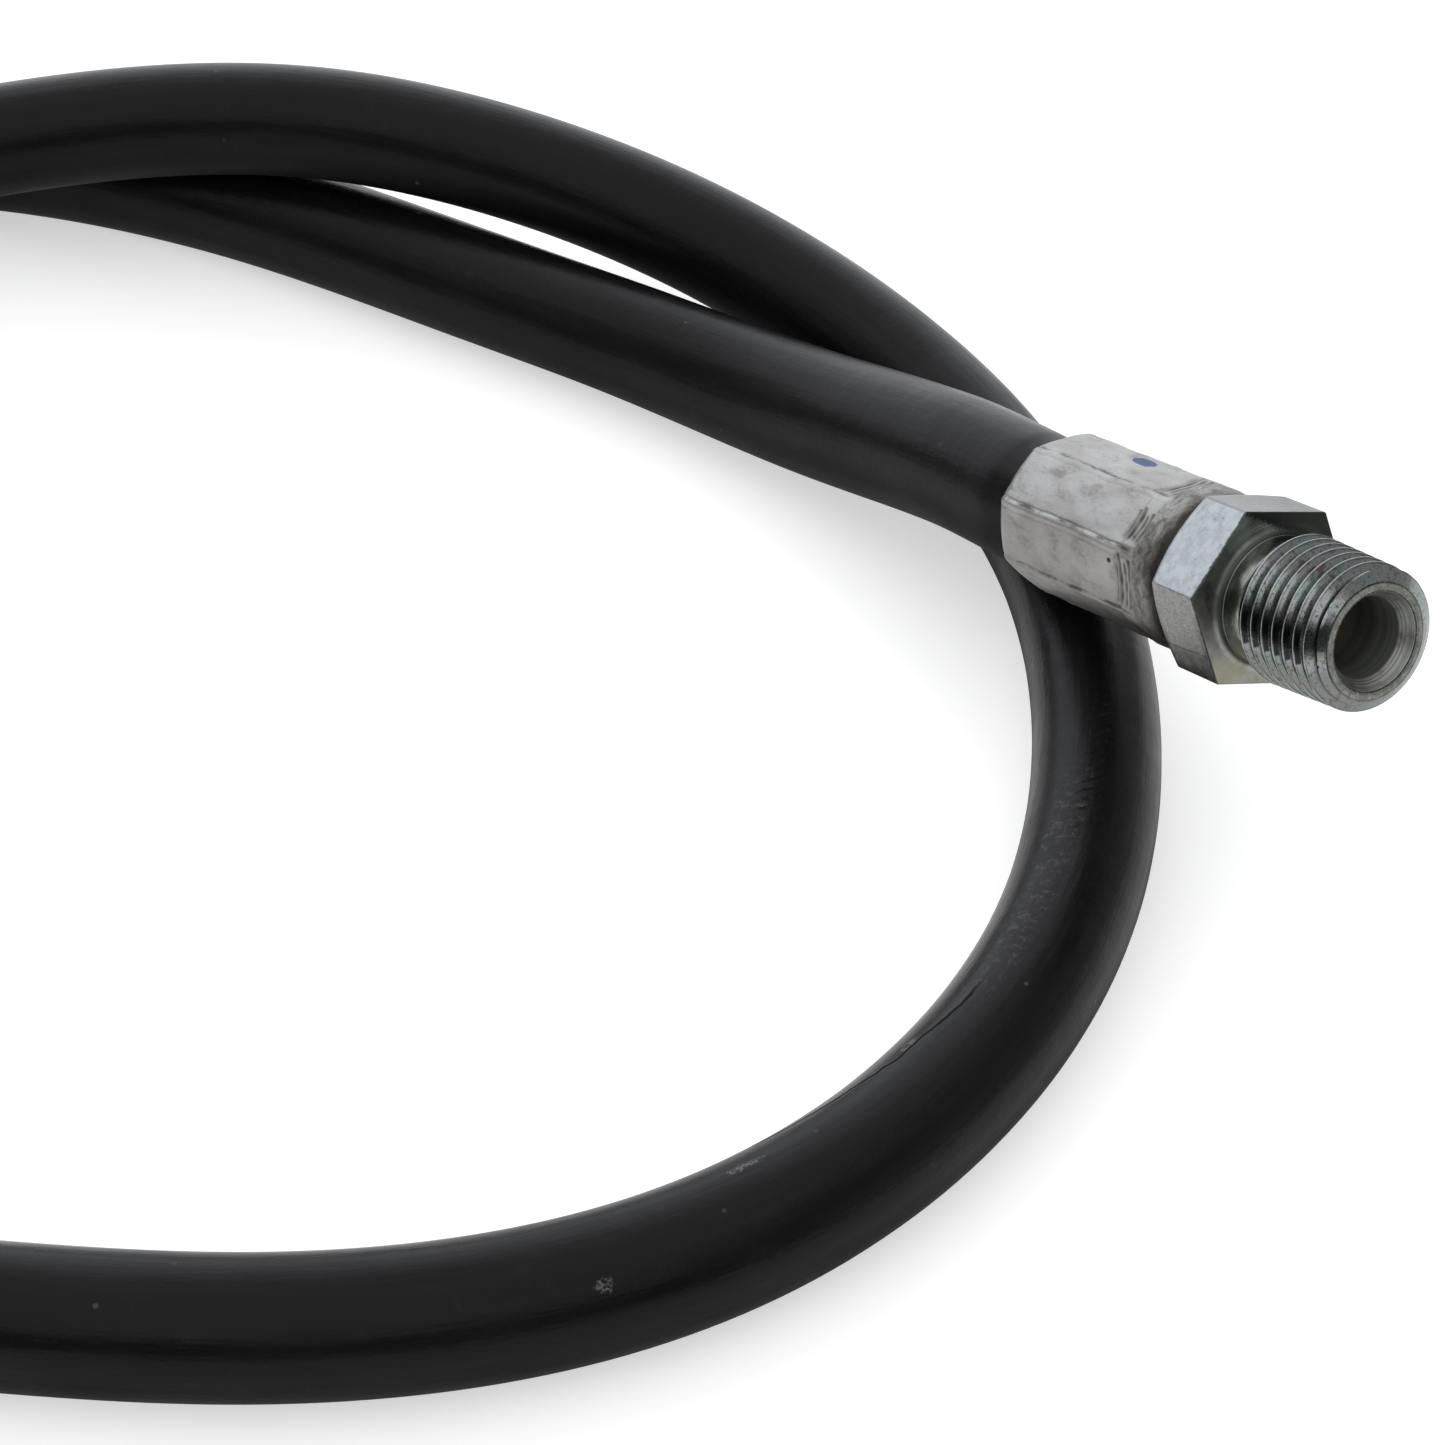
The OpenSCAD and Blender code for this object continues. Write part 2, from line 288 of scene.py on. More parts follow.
def fitting_place(end):
    """The matrix from a fitting's own frame, in metres, to the row frame."""
    if end == "a":
        return Matrix.Rotation(math.radians(90 - TILT), 4, "Y")
    face = MOUTH_B + MOUTH * AXIS_B
    return (Matrix.Translation(face * MM) @ Matrix.Rotation(math.radians(TURN_B), 4, "Z")
            @ Matrix.Rotation(math.radians(90 - TILT_B), 4, "X"))


# ---------------------------------------------------------------- materials

class Nodes:
    """Builds a node tree, one node at a time."""

    def __init__(self, tree):
        self.tree = tree

    def add(self, kind, inputs=None, output=0, **settings):
        node = self.tree.nodes.new(kind)
        for key, value in settings.items():
            setattr(node, key, value)
        for key, value in (inputs or {}).items():
            self.feed(node.inputs[key], value)
        return node.outputs[output]

    def feed(self, socket, value):
        if isinstance(value, bpy.types.NodeSocket):
            self.tree.links.new(value, socket)
        else:
            socket.default_value = (*value[:3], 1) if socket.type == "RGBA" else value

    def math(self, operation, a, b=0.0, c=0.0):
        return self.add("ShaderNodeMath", {0: a, 1: b, 2: c}, operation=operation)

    def linear(self, value, times, plus):
        return self.math("MULTIPLY_ADD", value, times, plus)

    def part(self, vector, k):
        return self.add("ShaderNodeSeparateXYZ", {0: vector}, output=k)

    def dot(self, a, b):
        return self.add("ShaderNodeVectorMath", {0: a, 1: b}, output=1, operation="DOT_PRODUCT")

    def length(self, vector):
        return self.add("ShaderNodeVectorMath", {0: vector}, output=1, operation="LENGTH")

    def noise(self, place, scale, detail=3.0, roughness=0.55, distortion=0.0):
        return self.add("ShaderNodeTexNoise", {
            "Vector": place, "Scale": scale, "Detail": detail, "Roughness": roughness,
            "Distortion": distortion})

    def cells(self, place, scale):
        """Distance to the nearest of many scattered points."""
        return self.add("ShaderNodeTexVoronoi", {"Vector": place, "Scale": scale})

    def ramp(self, value, low, high):
        """0 below low, 1 above high, smooth between them; low may be the larger."""
        if low < high:
            return self.add("ShaderNodeMapRange", {0: value, 1: low, 2: high, 3: 0.0, 4: 1.0},
                            interpolation_type="SMOOTHSTEP")
        return self.add("ShaderNodeMapRange", {0: value, 1: high, 2: low, 3: 1.0, 4: 0.0},
                        interpolation_type="SMOOTHSTEP")

    def blend(self, factor, a, b):
        """Colour a at factor 0 and colour b at factor 1."""
        node = self.tree.nodes.new("ShaderNodeMix")
        node.data_type = "RGBA"
        self.feed(node.inputs[0], factor)
        self.feed(node.inputs[6], a)
        self.feed(node.inputs[7], b)
        return node.outputs[2]

    def fade(self, value, first, last, a, b):
        """Colour a at the first value and colour b at the last."""
        return self.blend(self.ramp(value, first, last), a, b)

    def over(self, below, mask, share, top):
        """One colour laid over another, by a share of a mask."""
        if share < 1:
            mask = self.math("MULTIPLY", mask, share)
        return self.blend(mask, below, top)

    def total(self, *shares):
        """The sum of several values, each times a number."""
        result = 0.0
        for value, share in shares:
            result = self.linear(value, share, result)
        return result


class Paint(Nodes):
    """A procedural material."""

    def __init__(self, name):
        self.material = bpy.data.materials.new(name)
        self.material.use_nodes = True
        super().__init__(self.material.node_tree)
        self.shader = self.tree.nodes["Principled BSDF"]
        self.colour = None      # each material sets it, and finish joins it

    def position(self):
        """The point's place in the row frame, in mm."""
        place = self.add("ShaderNodeTexCoord", output=3)
        return self.scaled(place, (1 / MM, 1 / MM, 1 / MM))

    def stored(self, name, output=1):
        """A value stored on the mesh: output 1 is a vector and 2 a number."""
        return self.add("ShaderNodeAttribute", output=output, attribute_name=name)

    def scaled(self, vector, scale):
        return self.add("ShaderNodeVectorMath", {0: vector, 1: scale}, operation="MULTIPLY")

    def spot(self, place, centre, reach, rough=0.0, scale=2.0):
        """1 at the centre of a spot, 0 outside it; reach is its half size along x, y and z."""
        offset = self.add("ShaderNodeVectorMath", {0: place, 1: centre}, operation="SUBTRACT")
        within = self.scaled(offset, tuple(1 / r for r in reach))
        far = self.length(within)
        if rough:
            wobble = self.linear(self.noise(place, scale), 2 * rough, -rough)
            far = self.math("ADD", far, wobble)
        return self.ramp(far, 1.0, 0.6)

    def lay(self, mask, share, top):
        """Lays a colour over the material's colour so far."""
        self.colour = self.over(self.colour, mask, share, top)

    def finish(self, roughness, height=None, distance=0.02, strength=1.0, metallic=1.0):
        """Joins the colour so far, the roughness and the height in mm to the surface."""
        self.feed(self.shader.inputs["Base Color"], self.colour)
        self.feed(self.shader.inputs["Roughness"], roughness)
        self.shader.inputs["Metallic"].default_value = metallic
        if height is not None:
            bump = self.add("ShaderNodeBump", {
                "Height": height, "Strength": strength, "Distance": distance * MM})
            self.feed(self.shader.inputs["Normal"], bump)
        return self.material


def on_fitting(radius, angle, back):
    """A point of a fitting, from its radius, its angle from upwards on end A, and its distance."""
    turn = math.radians(180 + angle)
    return (radius * math.cos(turn), radius * math.sin(turn), -back)


def on_stem(radius, angle, back):
    """The same point in the stem's own frame, which end A turns about its axis."""
    return on_fitting(radius, angle - STEM_TURN, back)


def towards(paint, place, angle):
    """How far a point of the stem lies from the axis, in the direction of an angle."""
    return paint.dot(place, on_stem(1, angle, 0))


def behind(paint, place):
    """Distance of a point behind the sealing face, in mm."""
    return paint.math("MULTIPLY", paint.part(place, 2), -1.0)


def turned_to(paint, place):
    """Angle of a point of the stem, in degrees, for angles from 10 to 190."""
    turn = paint.math("ARCTAN2", paint.part(place, 1), paint.part(place, 0))
    turn = paint.math("MULTIPLY", turn, 180 / math.pi)
    return paint.math("ADD", turn, 180 + STEM_TURN)


def on_flat(paint, place, angle):
    """1 on the hex flat that faces an angle, and 0 on the others."""
    return paint.ramp(towards(paint, place, angle), *FLAT_HEIGHT)


def both(paint, *masks):
    """The product of several masks."""
    result = masks[0]
    for mask in masks[1:]:
        result = paint.math("MULTIPLY", result, mask)
    return result


def ring_noise(paint, place, scale):
    """Noise that is the same all round the axis, for turning lines."""
    radius = paint.length(paint.scaled(place, (1, 1, 0)))
    along = paint.add("ShaderNodeCombineXYZ", {0: radius, 1: 0.0, 2: behind(paint, place)})
    return paint.noise(along, scale, 3, 0.7)


def zinc_flats():
    """Hex flats: the upper left one bright and finely cracked; the top and lower left ones get
    darker, greyer copies of its colour as painted shade, with a painted shadow along the rear edge.
    """
    paint = Paint("zinc_hex_flats")
    place = paint.stored("own_place")
    back = behind(paint, place)
    mottle = paint.noise(place, 0.9, 6, 0.65)
    fine = paint.noise(place, 5.0, 5, 0.7)
    paint.colour = paint.fade(mottle, 0.35, 0.65, (0.25, 0.265, 0.275), (0.335, 0.345, 0.365))
    paint.lay(paint.ramp(fine, 0.55, 0.75), 0.5, (0.17, 0.18, 0.18))
    # painted shade: the top flat a darker copy of the colour, darker still towards one side
    top = on_flat(paint, place, TOP_FLAT)
    left = towards(paint, place, TOP_FLAT + 90)
    paint.lay(top, 1, paint.fade(left, -5, 5, (0.1, 0.107, 0.107), (0.165, 0.174, 0.174)))
    # painted shade: the lower left flat a darker, greyer copy of the colour
    low = on_flat(paint, place, TOP_FLAT + 120)
    down = towards(paint, place, TOP_FLAT - 150)
    grey_low = paint.fade(fine, 0.4, 0.65, (0.27, 0.275, 0.26), (0.14, 0.143, 0.135))
    # darker towards the front edge and towards the lower corner
    front_low_dark = paint.math("ADD", paint.ramp(back, 15.4, 14.6), paint.ramp(down, 1.6, 2.3))
    front_low_dark = both(paint, paint.math("MINIMUM", front_low_dark, 1.0), paint.ramp(down, -3.0, -1.0))
    front_low_grey = paint.fade(mottle, 0.42, 0.56, (0.085, 0.088, 0.078), (0.15, 0.152, 0.135))
    grey_low = paint.over(grey_low, front_low_dark, 0.75, front_low_grey)
    slant = paint.linear(back, -0.06, down)
    line = both(paint, paint.ramp(slant, 0.72, 0.8), paint.ramp(slant, 0.93, 0.85),
                paint.ramp(fine, 0.35, 0.5))
    grey_low = paint.blend(line, grey_low, (0.03, 0.03, 0.028))
    paint.lay(low, 1, grey_low)
    cells = paint.add("ShaderNodeTexVoronoi", {
        "Vector": paint.add("ShaderNodeVectorMath", {
            0: place, 1: paint.scaled(paint.add("ShaderNodeTexNoise", {
                "Vector": place, "Scale": 1.5, "Detail": 3.0}, output=1), (1.2, 1.2, 1.2))},
            operation="ADD"), "Scale": 0.62}, feature="DISTANCE_TO_EDGE")
    cracks = both(paint, paint.ramp(cells, 0.016, 0.005), paint.ramp(mottle, 0.5, 0.44))
    paint.lay(cracks, 0.45, (0.05, 0.052, 0.055))
    ragged = paint.linear(paint.noise(place, 2.2, 4, 0.75), 0.5, HEX_FRONT - 0.13)
    edge = paint.ramp(paint.math("SUBTRACT", back, ragged), 0.04, -0.02)
    paint.lay(edge, 0.85, (0.03, 0.032, 0.03))
    # painted shadow along the rear edge, in the gap before the ferrule
    rear = paint.ramp(back, HEX_REAR - 0.3, HEX_REAR)
    paint.lay(rear, 0.8, (0.04, 0.04, 0.036))
    roughness = paint.linear(mottle, 0.2, 0.24)
    height = paint.total((mottle, 0.6), (fine, 0.3))
    return paint.finish(roughness, height, 0.035, 0.6)


def zinc_face():
    """Hex front face: greenish grey, stained yellowish below; painted shade makes it darker towards
    the top, black under its top edge, dark in the fillet and in a streak beside the neck; painted
    highlights on a turning ring and along the fillet's edge.
    """
    paint = Paint("zinc_hex_face")
    place = paint.stored("own_place")
    back = behind(paint, place)
    broad = paint.noise(place, 0.5, 5, 0.6)
    fine = paint.noise(place, 4.0, 5, 0.7)
    rings = ring_noise(paint, place, 3.2)
    up = towards(paint, place, TOP_FLAT)
    left = towards(paint, place, TOP_FLAT + 90)
    # painted shade: the face darker towards its top and lighter towards its bottom
    level = paint.fade(up, 4.0, -7.5, (0.185, 0.2, 0.18), (0.33, 0.33, 0.3))
    dim = paint.fade(up, 4.0, -7.5, (0.13, 0.14, 0.125), (0.23, 0.23, 0.2))
    paint.colour = paint.fade(broad, 0.38, 0.62, dim, level)
    paint.lay(paint.ramp(fine, 0.55, 0.72), 0.5, (0.09, 0.095, 0.08))
    green = paint.spot(place, on_stem(*GREEN_SHEEN), (1.7, 1.7, 2), 0.5, 0.9)
    paint.lay(green, 0.6, (0.27, 0.33, 0.295))
    # painted highlight on the turning rings near the top
    bright = both(paint, paint.ramp(rings, 0.52, 0.62), paint.ramp(up, 4.6, 5.6),
                  paint.ramp(up, 7.2, 6.6))
    paint.lay(bright, 0.6, (0.42, 0.46, 0.42))
    # painted dark reflection: a ragged black strip under the top edge
    slant = paint.linear(left, -0.28, up)
    ragged = paint.linear(fine, 1.6, paint.math("SUBTRACT", slant, 0.8))
    strip = both(paint, paint.ramp(ragged, 5.9, 6.6), paint.ramp(up, 5.2, 5.8))
    paint.lay(strip, 0.93, (0.014, 0.015, 0.014))
    # painted shade: a dark streak on the face beside the neck
    smear = paint.spot(place, on_stem(*FACE_SHADE_STREAK), (2.4, 0.9, 2), 0.5, 0.9)
    paint.lay(smear, 0.5, (0.05, 0.047, 0.04))
    stain = paint.spot(place, on_stem(*YELLOW_STAIN), (2.0, 2.2, 1.0), 1.2, 1.5)
    paint.lay(stain, 0.4, (0.3, 0.28, 0.15))
    # painted shade in the fillet between the neck and the face
    fillet_shade = both(paint, paint.ramp(back, 14.28, 14.0), paint.ramp(back, 13.6, 13.7))
    paint.lay(fillet_shade, 0.9, (0.045, 0.05, 0.043))
    # painted highlight: a thin bright line along the fillet's edge at the neck
    arc = both(paint, paint.ramp(back, 13.5, 13.53), paint.ramp(back, 13.63, 13.58))
    paint.lay(arc, 0.9, (0.5, 0.52, 0.48))
    roughness = paint.linear(broad, 0.2, 0.32)
    height = paint.total((rings, 0.8), (fine, 0.5))
    return paint.finish(roughness, height, 0.04, 0.6)


def zinc_thread():
    """Thread and neck: fine bright crests, tinted flanks and a row of rusty spots on top, with
    painted shade: black reflections on the flanks, dark roots, a darker lower side, a dark line
    beside the crests and a black run-out groove.
    """
    paint = Paint("zinc_thread")
    place = paint.stored("own_place")
    depth = paint.stored("depth", 2)
    back = behind(paint, place)
    turn = turned_to(paint, place)
    tint = paint.noise(place, 0.55, 3, 0.5)
    patch = paint.noise(paint.scaled(place, (1, 1, 1.6)), 1.1, 5, 0.65)
    blots = paint.noise(paint.scaled(place, (1, 1, 1.4)), 2.6, 4, 0.7)
    fine = paint.noise(place, 5.0, 5, 0.7)
    lines = ring_noise(paint, place, 6.0)
    paint.colour = paint.fade(tint, 0.4, 0.6, (0.24, 0.285, 0.262), (0.28, 0.275, 0.28))
    paint.lay(paint.ramp(patch, 0.5, 0.64), 0.7, (0.21, 0.25, 0.29))
    paint.lay(paint.ramp(patch, 0.45, 0.32), 0.7, (0.14, 0.135, 0.115))
    paint.lay(paint.ramp(blots, 0.53, 0.65), 0.75, (0.055, 0.06, 0.055))
    paint.lay(paint.ramp(fine, 0.54, 0.66), 0.5, (0.06, 0.06, 0.054))
    paint.lay(paint.ramp(lines, 0.56, 0.68), 0.35, (0.42, 0.44, 0.43))
    # painted shade: the lower side of the thread darker
    below = both(paint, paint.ramp(turn, 92, 104), paint.ramp(turn, 260, 200))
    paint.lay(below, 0.5, (0.115, 0.115, 0.1))
    rust = paint.spot(place, on_stem(*RUST), (0.9, 0.75, 5.4), 0.7, 1.3)
    broken = paint.ramp(paint.noise(place, 1.1, 2), 0.45, 0.55)
    flank = paint.ramp(depth, 0.04, 0.1)
    paint.lay(both(paint, rust, broken, flank), 0.7, (0.1, 0.05, 0.042))
    # painted dark reflection: black bands on the flanks along one side
    flank_dark_reflection = both(paint, paint.ramp(turn, 58, 74), paint.ramp(turn, 96, 94), flank,
                paint.ramp(depth, 0.5, 0.4), paint.ramp(back, 1.5, 2.5),
                paint.ramp(patch, 0.25, 0.4))
    paint.lay(flank_dark_reflection, 0.93, (0.012, 0.012, 0.013))
    # painted shadow in the roots, reaching further up the flanks on the lower side
    deep = paint.math("MAXIMUM", paint.ramp(depth, 0.5, 0.85),
                      both(paint, paint.ramp(depth, 0.4, 0.5), below, paint.ramp(back, 1.6, 2.4)))
    paint.lay(deep, 1, (0.022, 0.022, 0.02))
    crest = both(paint, paint.ramp(depth, 0.055, 0.02), paint.ramp(fine, 0.35, 0.5))
    paint.lay(crest, 0.6, (0.27, 0.28, 0.27))
    # painted shade: a dark line on the flanks just beside the crests
    near = both(paint, paint.ramp(depth, 0.05, 0.08), paint.ramp(depth, 0.16, 0.11),
                paint.ramp(patch, 0.4, 0.5))
    paint.lay(near, 0.6, (0.05, 0.052, 0.05))
    neck = paint.ramp(back, THREAD_END + 0.25, THREAD_END + 0.4)
    neck_grey = paint.fade(patch, 0.4, 0.6, (0.16, 0.165, 0.15), (0.23, 0.24, 0.225))
    neck_grey = paint.over(neck_grey, paint.ramp(lines, 0.5, 0.62), 0.5, (0.09, 0.09, 0.085))
    paint.lay(neck, 1, neck_grey)
    # painted shade: the run-out groove black
    groove = both(paint, paint.ramp(back, THREAD_END - 0.1, THREAD_END),
                  paint.ramp(back, THREAD_END + 0.42, THREAD_END + 0.34))
    paint.lay(groove, 0.9, (0.012, 0.012, 0.012))
    roughness = paint.linear(patch, 0.14, 0.09)
    height = paint.total((lines, 0.5), (fine, 0.6))
    return paint.finish(roughness, height, 0.02, 0.5)


def zinc_end():
    """End chamfer and face: matt grey with pits, and a dark arc at the upper left."""
    paint = Paint("zinc_end")
    place = paint.stored("own_place")
    radius = paint.length(paint.scaled(place, (1, 1, 0)))
    rings = ring_noise(paint, place, 4.0)
    broad = paint.total((paint.noise(place, 0.9, 5, 0.65), 0.5), (rings, 0.5))
    fine = paint.noise(place, 4.0, 5, 0.75)
    paint.colour = paint.fade(broad, 0.4, 0.6, (0.13, 0.135, 0.12), (0.26, 0.265, 0.245))
    paint.lay(paint.ramp(fine, 0.5, 0.66), 0.7, (0.05, 0.05, 0.043))
    pits = paint.ramp(paint.cells(place, 1.4), 0.12, 0.04)
    paint.lay(pits, 1, (0.015, 0.015, 0.013))
    upper = paint.ramp(towards(paint, place, 40), -1.5, 2.5)
    outer = both(paint, paint.ramp(radius, 5.16, 5.28), paint.linear(upper, 0.6, 0.4))
    rim = paint.math("MAXIMUM", outer, paint.ramp(radius, 4.72, 4.62))
    rim = both(paint, rim, paint.ramp(fine, 0.3, 0.5))
    paint.lay(rim, 0.85, (0.02, 0.02, 0.017))
    roughness = paint.linear(fine, 0.2, 0.28)
    return paint.finish(roughness, fine, 0.05, 0.6)


def turned_steel():
    """Seat cone and bore: fine turning lines round the axis."""
    paint = Paint("turned_bore")
    place = paint.stored("own_place")
    back = behind(paint, place)
    lines = ring_noise(paint, place, 5.0)
    coarse = ring_noise(paint, place, 1.4)
    patches = paint.noise(place, 0.8, 4, 0.6)
    paint.colour = paint.fade(lines, 0.38, 0.62, (0.17, 0.175, 0.16), (0.4, 0.41, 0.4))
    paint.lay(paint.ramp(patches, 0.5, 0.7), 0.6, (0.12, 0.11, 0.085))
    inside = paint.ramp(back, 1.2, 1.6)
    wall = paint.fade(coarse, 0.4, 0.6, (0.16, 0.17, 0.15), (0.2, 0.21, 0.185))
    wall = paint.over(wall, paint.ramp(lines, 0.54, 0.62), 0.4, (0.4, 0.4, 0.36))
    wall = paint.fade(back, 6.0, 9.5, wall, (0.5, 0.48, 0.41))
    paint.lay(inside, 1, wall)
    roughness = paint.linear(inside, 0.15, paint.linear(lines, 0.2, 0.36))
    height = paint.math("MULTIPLY", lines, paint.linear(inside, -0.6, 1.0))
    return paint.finish(roughness, height, 0.03, 0.5)


def zinc_ferrule():
    """Ferrule: dull zinc with smears, darker beside the ridges and in the die marks, painted shade
    on its underside and towards the hex, a painted shadow in the gap before the hex, a pit and a
    blue paint dot.
    """
    paint = Paint("zinc_ferrule")
    place = paint.stored("own_place")
    depth = paint.stored("depth", 2)
    back = behind(paint, place)
    broad = paint.noise(paint.scaled(place, (1, 1, 0.5)), 0.3, 5, 0.6)
    smear = paint.noise(paint.scaled(place, (1, 1, 0.45)), 0.7, 6, 0.7)
    scrape = paint.noise(paint.scaled(place, (1.2, 1.2, 0.5)), 1.7, 6, 0.75)
    fine = paint.noise(place, 5.0, 4, 0.65)
    paint.colour = paint.fade(broad, 0.35, 0.65, (0.26, 0.252, 0.24), (0.315, 0.31, 0.305))
    paint.lay(paint.ramp(smear, 0.5, 0.68), 0.6, (0.155, 0.147, 0.13))
    paint.lay(paint.ramp(scrape, 0.58, 0.7), 0.5, (0.11, 0.104, 0.092))
    paint.lay(paint.ramp(fine, 0.55, 0.72), 0.4, (0.1, 0.095, 0.085))
    around = paint.noise(paint.scaled(place, (0.8, 0.8, 1.7)), 0.8, 6, 0.75, 0.6)
    nose = paint.fade(around, 0.4, 0.62, (0.08, 0.075, 0.068), (0.23, 0.224, 0.212))
    # painted shade: the nose darker towards the hex
    nose = paint.over(nose, paint.ramp(back, 23.6, 22.4), 0.6, (0.075, 0.07, 0.06))
    paint.lay(paint.ramp(back, 25.4, 24.8), 0.9, nose)
    # painted shade: the underside darker
    under = paint.dot(place, on_fitting(1, 150, 0))
    paint.lay(paint.ramp(under, 2.0, 7.0), 0.5, (0.085, 0.08, 0.07))
    # darker beside the ridges and in the die marks, in patches
    patchy = paint.math("MAXIMUM", paint.ramp(smear, 0.42, 0.58),
                        paint.ramp(back, DIE_END + 1.5, DIE_END + 0.3))
    darkening = both(paint, depth, patchy, paint.ramp(smear, 0.2, 0.44))
    paint.lay(darkening, 0.92, (0.03, 0.027, 0.022))
    # painted shadow in the gap before the hex, with a ragged edge
    gap_shadow = paint.ramp(paint.linear(around, 1.2, back), 23.6, 22.7)
    paint.lay(gap_shadow, 0.9, (0.03, 0.027, 0.022))
    pit = paint.spot(place, on_fitting(*PIT), (0.3, 0.3, 0.35), 0.3, 3.0)
    paint.lay(pit, 1, (0.006, 0.006, 0.006))
    dot = paint.spot(place, on_fitting(*BLUE_DOT), (1.3, 1.0, 1.8), 0.5, 1.2)
    dot = paint.ramp(dot, 0.1, 0.6)
    paint.lay(dot, 1, (0.007, 0.042, 0.15))
    paint.shader.inputs["Specular IOR Level"].default_value = 0.2
    paint.feed(paint.shader.inputs["Metallic"], paint.math("SUBTRACT", 1.0, dot))
    roughness = paint.linear(smear, 0.25, 0.3)
    height = paint.total((smear, 0.8), (fine, 0.25))
    return paint.finish(roughness, height, 0.09, 0.6)


def hose_rubber():
    """Hose cover: matt black rubber, cloudy and lightly streaked, with the photo's marks."""
    paint = Paint("hose_rubber")
    place = paint.stored("hose_place")
    inner, top, run = (paint.part(place, k) for k in range(3))
    streak = paint.noise(paint.scaled(place, (1, 1, 0.06)), 0.9, 4, 0.6)
    cloud = paint.noise(paint.scaled(place, (1, 1, 0.5)), 0.16, 4, 0.6)
    weave = paint.noise(place, 3.5, 3, 0.6)
    ripple = paint.noise(paint.scaled(place, (0.25, 0.25, 1)), 0.35, 3, 0.5)
    dust = paint.ramp(paint.noise(place, 0.35, 5, 0.7), 0.56, 0.8)
    specks = both(paint, paint.ramp(paint.cells(place, 0.25), 0.075, 0.04),
                  paint.ramp(paint.noise(place, 0.06, 2), 0.5, 0.6))
    paint.colour = paint.fade(streak, 0.35, 0.7, (0.0036, 0.0036, 0.0038), (0.0055, 0.0055, 0.0058))
    paint.lay(dust, 0.5, (0.014, 0.0138, 0.0135))
    paint.lay(specks, 0.5, (0.09, 0.085, 0.08))

    def along(stretch, soft):
        """1 along a stretch of the hose."""
        first, last = stretch
        return both(paint, paint.ramp(run, first - soft, first + soft),
                    paint.ramp(run, last + soft, last - soft))

    # thin wrap edge on the near bend
    lean = paint.linear(run, EDGE_SLANT, inner)
    wander = paint.linear(paint.noise(place, 0.25, 3), 1.2, -EDGE_ASIDE)
    aside = paint.math("ADD", lean, wander)
    on_top = both(paint, paint.ramp(top, 3.0, 3.6), along(WRAP_EDGE, 3))
    edge = both(paint, on_top, paint.ramp(paint.math("ABSOLUTE", aside), 0.22, 0.06))
    beside = both(paint, on_top, paint.ramp(aside, 0.12, 0.3), paint.ramp(aside, 0.7, 0.4))
    paint.lay(beside, 0.5, (0.03, 0.03, 0.031))
    # rib marks of the wrap, and pale scuffs beside them
    phase = paint.linear(paint.noise(place, 0.5, 2), 5.0,
                         paint.math("MULTIPLY", inner, RIB_SLANT))
    wave = paint.math("SINE", paint.linear(run, RIB_RATE, phase))
    ribs = both(paint, along(RIBS, 3), paint.ramp(wave, -0.1, 0.7), paint.ramp(top, 5, 5.4),
                paint.ramp(paint.linear(streak, 3.0, inner), -0.4, 1.0),
                paint.ramp(paint.linear(weave, 3.0, inner), 3.2, 1.8),
                paint.ramp(paint.noise(place, 0.9, 3), 0.38, 0.55))
    scuffs = both(paint, along(SCUFFS, 6), paint.ramp(top, 4.7, 5.3),
                  paint.ramp(inner, -0.4, 0.6),
                  paint.ramp(paint.noise(place, 1.0, 6, 0.8), 0.5, 0.64))
    paint.lay(scuffs, 0.8, (0.05, 0.048, 0.047))
    nicks = 0.0
    for centre, reach, rough in NICKS:
        nicks = paint.math("MAXIMUM", nicks, paint.spot(place, centre, reach, rough, 1.5))
    nicks = paint.math("MULTIPLY", nicks, paint.ramp(weave, 0.42, 0.6))
    paint.lay(nicks, 0.8, (0.12, 0.115, 0.11))
    dark = paint.math("MAXIMUM", edge, ribs)
    paint.lay(dark, 0.9, (0.001, 0.001, 0.001))
    paint.shader.inputs["Specular IOR Level"].default_value = 0.125
    paint.shader.inputs["Specular Tint"].default_value = (1, 0.96, 1, 1)
    roughness = paint.linear(cloud, 0.3, paint.linear(streak, 0.1, 0.1))
    roughness = paint.linear(paint.ramp(top, 2.5, -1.5), 0.4, roughness)
    roughness = paint.math("MAXIMUM", roughness, paint.math("MULTIPLY", dark, 0.8))
    height = paint.total((streak, 0.6), (weave, 0.2), (cloud, 1.2), (ripple, 0.6), (edge, -0.7),
                         (ribs, -0.25))
    return paint.finish(roughness, height, 0.14, 0.6, metallic=0.0)


def inner_rubber():
    """Inner tube: smooth black rubber."""
    paint = Paint("inner_rubber")
    place = paint.position()
    cloud = paint.noise(place, 0.6, 3)
    paint.colour = paint.blend(cloud, (0.012, 0.012, 0.012), (0.024, 0.024, 0.024))
    return paint.finish(paint.linear(cloud, 0.2, 0.4), cloud, 0.02, 0.3, 0.0)


def braided_wire():
    """Wire braid: drawn steel wires crossing each other."""
    paint = Paint("braided_wire")
    place = paint.position()
    one = paint.add("ShaderNodeTexWave", {"Vector": place, "Scale": 1.6}, output=1)
    other = paint.add("ShaderNodeTexWave", {"Vector": paint.scaled(place, (1, -1, -1)),
                                            "Scale": 1.6}, output=1)
    weave = paint.math("MULTIPLY", one, other)
    paint.colour = paint.blend(weave, (0.1854, 0.18, 0.17136), (0.51, 0.5, 0.484))
    return paint.finish(paint.linear(weave, 0.1, 0.3), weave, 0.1, 0.8)


# ---------------------------------------------------------------- stem

def crest_radius(back):
    return THREAD_R + back * TAPER


